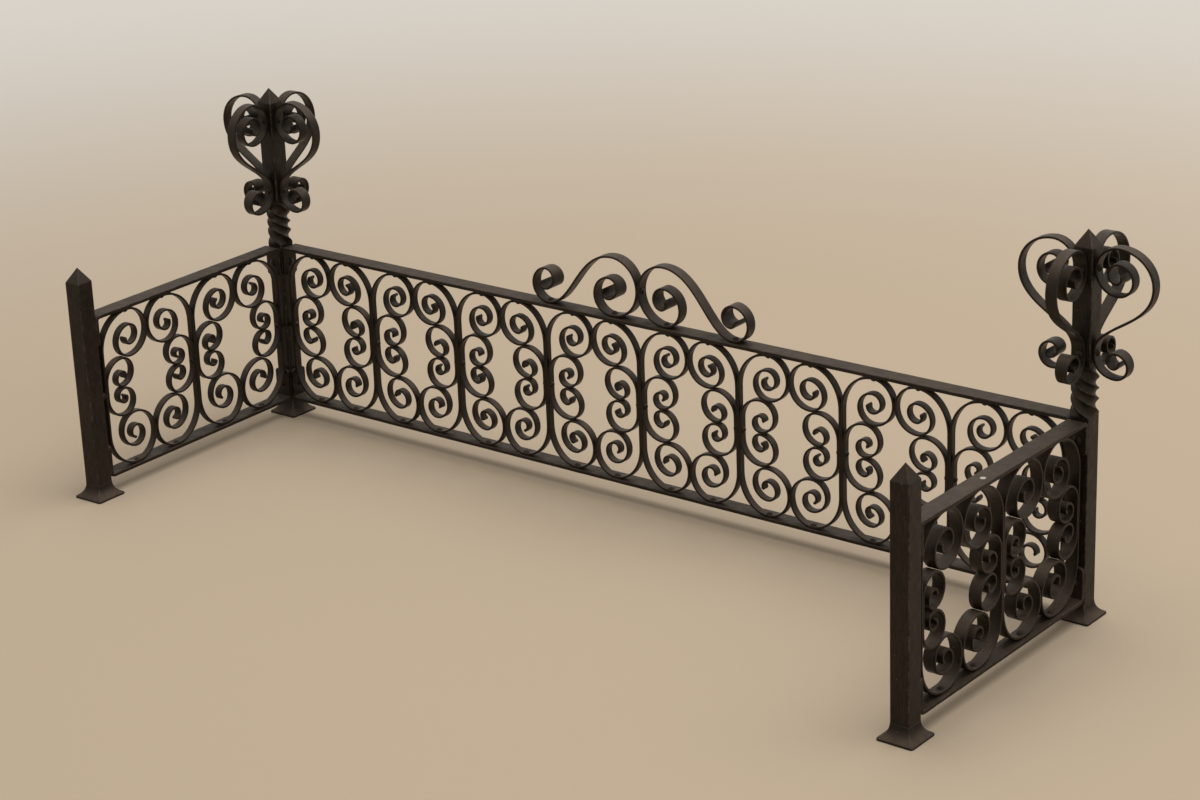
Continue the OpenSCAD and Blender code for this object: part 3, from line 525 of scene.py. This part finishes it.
# ------------------------------------------------------------------ the panels' scrolls
def scroll_pair(kind, panel, i):
    width, inward, r, share = SCROLLS[panel]
    if panel == "front":
        half, k, s = FRONT_PITCH / 2, 2 * i, 0
        mid = (i - 4.5) * FRONT_PITCH
    else:
        s = -1 if panel == "left" else 1
        half, k = SIDE_PITCH / 2, 2 * i + 10 * s + 80
        mid = (i - 1.5) * SIDE_PITCH
    if kind == "small":
        k += 40
    build = Builder()
    for m in (0, 1):
        edge = mid + (half if m else -half)
        to_world = front_place(edge, m, inward) if not s else side_place(s, edge, m, inward)
        pts = large_scroll(half, r, k + m) if kind == "large" else small_scroll(half, r, share, k + m)
        bar(build, pts, to_world, SCROLL_T, width, BAR_CORNER, k + m + (31 if kind == "small" else 0))
    build.make("scrolls_%s_%s_%d" % (kind, panel, i), "iron_scroll", "%s_%s_%d" % (kind, panel, i))


for kind in ("large", "small"):
    for i in range(1, 9):
        scroll_pair(kind, "front", i)
    for panel in ("left", "right"):
        for i in (1, 2):
            scroll_pair(kind, panel, i)


# ------------------------------------------------------------------ crest and finials
for s, name in ((-1, "left"), (1, "right")):
    def to_world(x, y, out, s=s):
        return (s * x, FRONT_Y + out, RAIL_TOP_Z + y)
    build = Builder()
    bar(build, crest_scroll(CREST_FLAT if s > 0 else 0.0), to_world, CREST_T, CREST_W, BLADE_CORNER, 70 + s,
        bulge=-0.25, flare=0.75)
    build.make("crest_bar_" + name, "iron_scroll", "crest_" + name)

for s, name, short in ((-1, "left", SHORT_LEFT), (1, "right", SHORT_RIGHT)):
    for j, (side, ax, ay) in enumerate((("outer", s, 0), ("inner", -s, 0), ("front", 0, -1), ("back", 0, 1))):
        def to_world(x, z, out, s=s, ax=ax, ay=ay):
            return (s * SIDE_X + ax * x - ay * out, FRONT_Y + ay * x + ax * out, z)
        build = Builder()
        bar(build, finial_scroll(short[j]), to_world, FINIAL_T, FINIAL_W, BLADE_CORNER, 80 + 5 * s + j,
            bulge=-0.25, wander=0.3, flare=0.6)
        build.make("finial_bar_%s_%s" % (name, side), "iron_scroll", "finial_%s_%s" % (name, side))


# ------------------------------------------------------------------ rails
RAIL_CORNER, RAIL_TIP, RAIL_DENT, EDGE_DENT = 0.9, 1.2, 0.22, 0.3
LUG_STEP, RAIL_STEP, BEND_STEPS = 2.0, 7.0, 12


def rail(name, node, to_world, half, lug, seed, look):
    """Flat bar with both ends bent down (z = 0 is its outer face)."""
    t, c = RAIL_T / 2, BEND_R - RAIL_T / 2
    steps = []

    def line(x0, z0, x1, z1, step):
        n = max(1, int(hypot(x1 - x0, z1 - z0) / step))
        for i in range(n):
            steps.append((x0 + (x1 - x0) * i / n, z0 + (z1 - z0) * i / n))

    line(-half + t, -lug, -half + t, -BEND_R, LUG_STEP)
    bend = [radians(90 * i / BEND_STEPS) for i in range(BEND_STEPS + 1)]
    for a in bend:
        steps.append((-half + BEND_R - c * cos(a), -BEND_R + c * sin(a)))
    line(-half + BEND_R + 0.5, -t, half - BEND_R - 0.5, -t, RAIL_STEP)
    for a in bend[::-1]:
        steps.append((half - BEND_R + c * cos(a), -BEND_R + c * sin(a)))
    line(half - t, -BEND_R - 0.5, half - t, -lug, LUG_STEP)
    steps.append((half - t, -lug))
    rings, n = [], len(steps)
    for i, (x, z) in enumerate(steps):
        a, b = steps[max(0, i - 1)], steps[min(n - 1, i + 1)]
        d = hypot(b[0] - a[0], b[1] - a[1])
        nx, nz = -(b[1] - a[1]) / d, (b[0] - a[0]) / d
        e = min(hypot(x - steps[0][0], z - steps[0][1]), hypot(x - steps[-1][0], z - steps[-1][1]))
        w = RAIL_W
        if e < LUG_CORNER:
            w -= 2 * (LUG_CORNER - sqrt(LUG_CORNER ** 2 - (LUG_CORNER - e) ** 2))
        # the free ends are rounded over their last millimetre
        tt = RAIL_T * (1 if e > RAIL_TIP else 0.72 + 0.28 * sqrt(1 - (1 - e / RAIL_TIP) ** 2))
        sec, corner = rounded(tt / 2, w / 2, RAIL_CORNER)
        ring = []
        for u, v in sec:
            px = x + nx * u
            dent = noise.noise(Vector((px / 26.0, v / 14.0, seed * 5.1))) * RAIL_DENT
            edge_dent = noise.noise(Vector((px / 17.0, seed * 3.3 + (4 if v > 0 else 0), 1.0))) * EDGE_DENT
            at_edge = abs(v) >= w / 2 - 1
            if u > 0:
                u -= abs(dent) * (0.4 if at_edge else 1)
            if at_edge:
                v -= edge_dent if v > 0 else -edge_dent
            ring.append(to_world(x + nx * u, v, z + nz * u))
        rings.append(ring)
    build = Builder()
    build.rings(rings, corner)
    build.make(name, "iron_rail", node, look)


for top in (1, 0):
    z0, zs, lug, word = (RAIL_TOP_Z, 1, TOP_LUG, "top") if top else (RAIL_LOW_Z, -1, LOW_LUG, "bottom")

    def to_world(x, v, z, z0=z0, zs=zs):
        return (x, FRONT_Y + v, z0 + zs * z)
    rail("rail_bar_front_" + word, "rail_front_" + word, to_world, FRONT_HALF, lug, 1 + top, "iron_rail")
    for s, name in ((-1, "left"), (1, "right")):
        def to_world(x, v, z, s=s, z0=z0, zs=zs):
            px, py = s * SIDE_X + v, SHIFT_Y + x
            if s > 0:
                px, py = swing(px, py)
            return (px, py, z0 + zs * z)
        rail("rail_bar_%s_%s" % (name, word), "rail_%s_%s" % (name, word), to_world, SIDE_HALF, lug,
             5 + top + 2 * s, "iron_rail_side")


# ------------------------------------------------------------------ posts and feet
POST_CORNER, POST_DENT, FOOT_DENT = 1.1, 0.12, 0.25
LEVEL_STEP, NECK_STEPS, POINT_STEPS, FOOT_STEPS = 9, 72, 9, 12
# the twist runs out softly at both ends of the neck, where its arrises are also a little fuller
NECK_EASE, NECK_IN, NECK_SOFT = 0.22, 0.012, 1.0


def square_section(h, r):
    """Square of half width h with corners of radius r, three extra points on each side."""
    pts, corner, n = [], [], 4
    for q in range(4):
        for i in range(n):
            a = radians(90 * q + 90 * i / (n - 1))
            cx, cy = ((1, 1), (-1, 1), (-1, -1), (1, -1))[q]
            pts.append((cx * (h - r) + r * cos(a), cy * (h - r) + r * sin(a)))
            corner.append(i < n - 1)
        ax = (Vector((0, 1)), Vector((-1, 0)), Vector((0, -1)), Vector((1, 0)))[q]
        side = Vector((-ax.y, ax.x))
        for f in (0.5, 0.0, -0.5):
            p = ax * h - side * f * (h - r)
            pts.append((p.x, p.y))
            corner.append(False)
    return pts, corner


def lofted(build, levels, to_world, seed, dent):
    """Square bar through levels of height, half width, corner radius and turn, with shallow dents."""
    rings = []
    for z, h, r, turn in levels:
        sec, corner = square_section(h, min(r, h * 0.95))
        ring = []
        for x, y in sec:
            k = noise.noise(Vector((x / 15.0 + seed, y / 15.0, z / 38.0))) * dent
            d = hypot(x, y) or 1
            x2, y2 = x - x / d * abs(k), y - y / d * abs(k)
            ring.append(to_world(x2 * cos(turn) - y2 * sin(turn), x2 * sin(turn) + y2 * cos(turn), z))
        rings.append(ring)
    build.rings(rings, corner)


def post_levels(low, high, neck):
    h, r = FACE, POST_CORNER
    out = [(low, h - 0.5, r, 0), (low + 0.4, h, r, 0)]
    z = low + 8

    def straight(a, b):
        n = max(1, int((b - a) / LEVEL_STEP))
        for i in range(n + 1):
            out.append((a + (b - a) * i / n, h, r, 0))

    if neck:
        straight(z, NECK_Z - 1.5)
        for i in range(NECK_STEPS + 1):
            u = i / NECK_STEPS
            turn = -(u - sin(2 * pi * u) * NECK_EASE / (2 * pi)) * radians(90 * NECK_QUARTERS)
            swell = sin(pi * min(1, u * 6, (1 - u) * 6) / 2)
            out.append((NECK_Z + NECK_H * u, h * (1 - NECK_IN * swell), r + NECK_SOFT * swell, turn))
        z = NECK_Z + NECK_H + 1.5
    straight(z, high - 1.2)
    out.append((high - 0.5, h, r, 0))
    for i in range(POINT_STEPS + 1):
        u = i / POINT_STEPS
        hh = h * (1 - u) + 0.7 * u
        out.append((high + 0.2 + (POINT_H - 0.6) * u, hh - 0.15, r - 0.5 * u, 0))
    out.append((high + POINT_H - 0.05, 0.3, 0.25, 0))
    return out


def foot_levels():
    k, h = (FOOT_W - POST_W) / 2, FOOT_H - FOOT_EDGE
    r = (k * k + h * h) / (2 * k)
    out = [(0.0, FOOT_W / 2 - 0.6, FOOT_CORNER, 0), (0.25, FOOT_W / 2 - 0.15, FOOT_CORNER, 0),
           (0.7, FOOT_W / 2, FOOT_CORNER, 0), (FOOT_EDGE - 0.7, FOOT_W / 2, FOOT_CORNER, 0),
           (FOOT_EDGE - 0.15, FOOT_W / 2 - 0.2, FOOT_CORNER, 0)]
    for i in range(FOOT_STEPS + 1):
        z = FOOT_EDGE + 0.15 + (h - 0.15) * i / FOOT_STEPS
        half = FACE + r - sqrt(r * r - (FOOT_H - z) ** 2)
        if i == 0:
            half -= 0.5
        u = i / FOOT_STEPS
        out.append((z, half + 0.3 * u, max(1.3, FOOT_CORNER * (1 - u)), 0))
    out.append((FOOT_H, FACE - 0.6, 1.0, 0))
    return out


for name, sx, y, high in (("front_left", -1, FRONT_Y, TALL_POST_H), ("front_right", 1, FRONT_Y, TALL_POST_H),
                          ("back_left", -1, BACK_Y, LOW_POST_H), ("back_right", 1, BACK_Y, LOW_POST_H)):
    def to_world(x, y_, z, sx=sx, y0=y, turned=name == "back_right"):
        px, py = sx * SIDE_X + x, y0 + y_
        if turned:
            px, py = swing(px, py)
        return (px, py, z)
    build = Builder()
    lofted(build, post_levels(FOOT_H - 0.2, high, y == FRONT_Y), to_world, 3 * sx + y, POST_DENT)
    build.make("post_bar_" + name, "iron_post", "post_" + name)
    build = Builder()
    lofted(build, foot_levels(), to_world, 5 * sx + y, FOOT_DENT)
    build.make("foot_plate_" + name, "iron_foot", "foot_" + name)


# ------------------------------------------------------------------ rivets, spacers and screws, as they are
SHARP = 50


def smooth_nodes():
    """Smooth shading but for edges of more than SHARP degrees, as a modifier."""
    g = bpy.data.node_groups.new("smooth_by_angle", "GeometryNodeTree")
    for way in ("INPUT", "OUTPUT"):
        g.interface.new_socket("Geometry", in_out=way, socket_type="NodeSocketGeometry")
    n, l = g.nodes, g.links
    gi, go = n.new("NodeGroupInput"), n.new("NodeGroupOutput")
    all_ = n.new("GeometryNodeSetShadeSmooth")
    all_.domain = "FACE"
    all_.inputs["Shade Smooth"].default_value = True
    sharp = n.new("GeometryNodeSetShadeSmooth")
    sharp.domain = "EDGE"
    sharp.inputs["Shade Smooth"].default_value = False
    angle = n.new("GeometryNodeInputMeshEdgeAngle")
    wider = n.new("FunctionNodeCompare")
    wider.data_type = "FLOAT"
    wider.operation = "GREATER_THAN"
    wider.inputs[1].default_value = radians(SHARP)
    l.new(angle.outputs["Unsigned Angle"], wider.inputs[0])
    l.new(wider.outputs[0], sharp.inputs["Selection"])
    l.new(gi.outputs[0], all_.inputs[0])
    l.new(all_.outputs[0], sharp.inputs[0])
    l.new(sharp.outputs[0], go.inputs[0])
    return g


SMOOTH = smooth_nodes()
REPLACED = ("post_", "foot_", "rail_", "large_", "small_", "crest_", "finial_")
for node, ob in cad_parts.items():
    if node.startswith(REPLACED):
        continue
    ob.data.materials.clear()
    ob.data.materials.append(LOOKS["iron_rivet"][0])
    ob.modifiers.new("smooth", "NODES").node_group = SMOOTH


# ------------------------------------------------------------------ floor, lights, background
FLOOR_HALF, FLOOR_ROUGH, FLOOR_SHEEN = 30.0, 0.75, 0.15
FLOOR_NEAR, FLOOR_FAR, FLOOR_GLOW = (0.54, 0.43, 0.31, 1), (0.76, 0.71, 0.64, 1), (0.76, 0.72, 0.66, 1)
# distances from the origin (m) between which the far tint and the glow come in
TINT_FADE, GLOW_FADE = (0.9, 3.6), (1.8, 5.0)
SKY_TINT, SKY_LIGHT, SKY_SEEN = (1.0, 0.975, 0.93, 1), 0.46, 0.74
me = bpy.data.meshes.new("floor")
me.from_pydata([(x * FLOOR_HALF, y * FLOOR_HALF, 0) for x, y in ((-1, -1), (1, -1), (1, 1), (-1, 1))], [],
               [(0, 1, 2, 3)])
ground = bpy.data.objects.new("floor", me)
bpy.context.scene.collection.objects.link(ground)
fm = bpy.data.materials.new("floor")
fm.use_nodes = True
fb = fm.node_tree.nodes["Principled BSDF"]
fb.inputs["Roughness"].default_value = FLOOR_ROUGH
fb.inputs["Specular IOR Level"].default_value = FLOOR_SHEEN


def seen_directly(tree):
    """1 for rays of the camera and for what gloss or glass shows, 0 for the light on the object."""
    path = tree.nodes.new("ShaderNodeLightPath")
    out = path.outputs["Is Camera Ray"]
    for kind in ("Is Glossy Ray", "Is Transmission Ray"):
        most = tree.nodes.new("ShaderNodeMath")
        most.operation = "MAXIMUM"
        tree.links.new(out, most.inputs[0])
        tree.links.new(path.outputs[kind], most.inputs[1])
        out = most.outputs[0]
    return out


# tan near the fender, pale beyond it
fn, fl = fm.node_tree.nodes, fm.node_tree.links
where, far = fn.new("ShaderNodeNewGeometry"), fn.new("ShaderNodeVectorMath")
far.operation = "LENGTH"
fl.new(where.outputs["Position"], far.inputs[0])


def fade(start, end):
    r = fn.new("ShaderNodeMapRange")
    r.interpolation_type = "SMOOTHSTEP"
    r.inputs["From Min"].default_value = start
    r.inputs["From Max"].default_value = end
    fl.new(far.outputs["Value"], r.inputs["Value"])
    return r.outputs["Result"]


tint = fn.new("ShaderNodeMix")
tint.data_type = "RGBA"
tint.inputs[6].default_value = FLOOR_NEAR
tint.inputs[7].default_value = FLOOR_FAR
fl.new(fade(*TINT_FADE), tint.inputs[0])
fl.new(tint.outputs[2], fb.inputs["Base Color"])
glow, blend, share = fn.new("ShaderNodeEmission"), fn.new("ShaderNodeMixShader"), fn.new("ShaderNodeMath")
glow.inputs["Color"].default_value = FLOOR_GLOW
share.operation = "MULTIPLY"
fl.new(fade(*GLOW_FADE), share.inputs[0])
fl.new(seen_directly(fm.node_tree), share.inputs[1])
fl.new(share.outputs[0], blend.inputs[0])
fl.new(fb.outputs[0], blend.inputs[1])
fl.new(glow.outputs[0], blend.inputs[2])
fl.new(blend.outputs[0], fn["Material Output"].inputs["Surface"])
me.materials.append(fm)

world = bpy.context.scene.world or bpy.data.worlds.new("world")
bpy.context.scene.world = world
world.use_nodes = True
sky = world.node_tree.nodes["Background"]
sky.inputs[0].default_value = SKY_TINT
level = world.node_tree.nodes.new("ShaderNodeMapRange")
level.inputs["To Min"].default_value = SKY_LIGHT
level.inputs["To Max"].default_value = SKY_SEEN
world.node_tree.links.new(seen_directly(world.node_tree), level.inputs["Value"])
world.node_tree.links.new(level.outputs["Result"], sky.inputs[1])


def area(name, at, aim, size, watts):
    d = bpy.data.lights.new(name, "AREA")
    d.shape = "SQUARE"
    d.size = size
    d.energy = watts
    o = bpy.data.objects.new(name, d)
    o.location = at
    o.rotation_euler = (Vector(aim) - Vector(at)).to_track_quat("-Z", "Y").to_euler()
    bpy.context.scene.collection.objects.link(o)


area("softbox_top", (-0.7, -1.0, 5.0), (0, 0.1, 0.1), 5.0, 190)
area("softbox_camera", (-1.6, 2.4, 2.6), (0, 0, 0.2), 1.6, 2.5)
bpy.context.scene.view_settings.view_transform = "Standard"
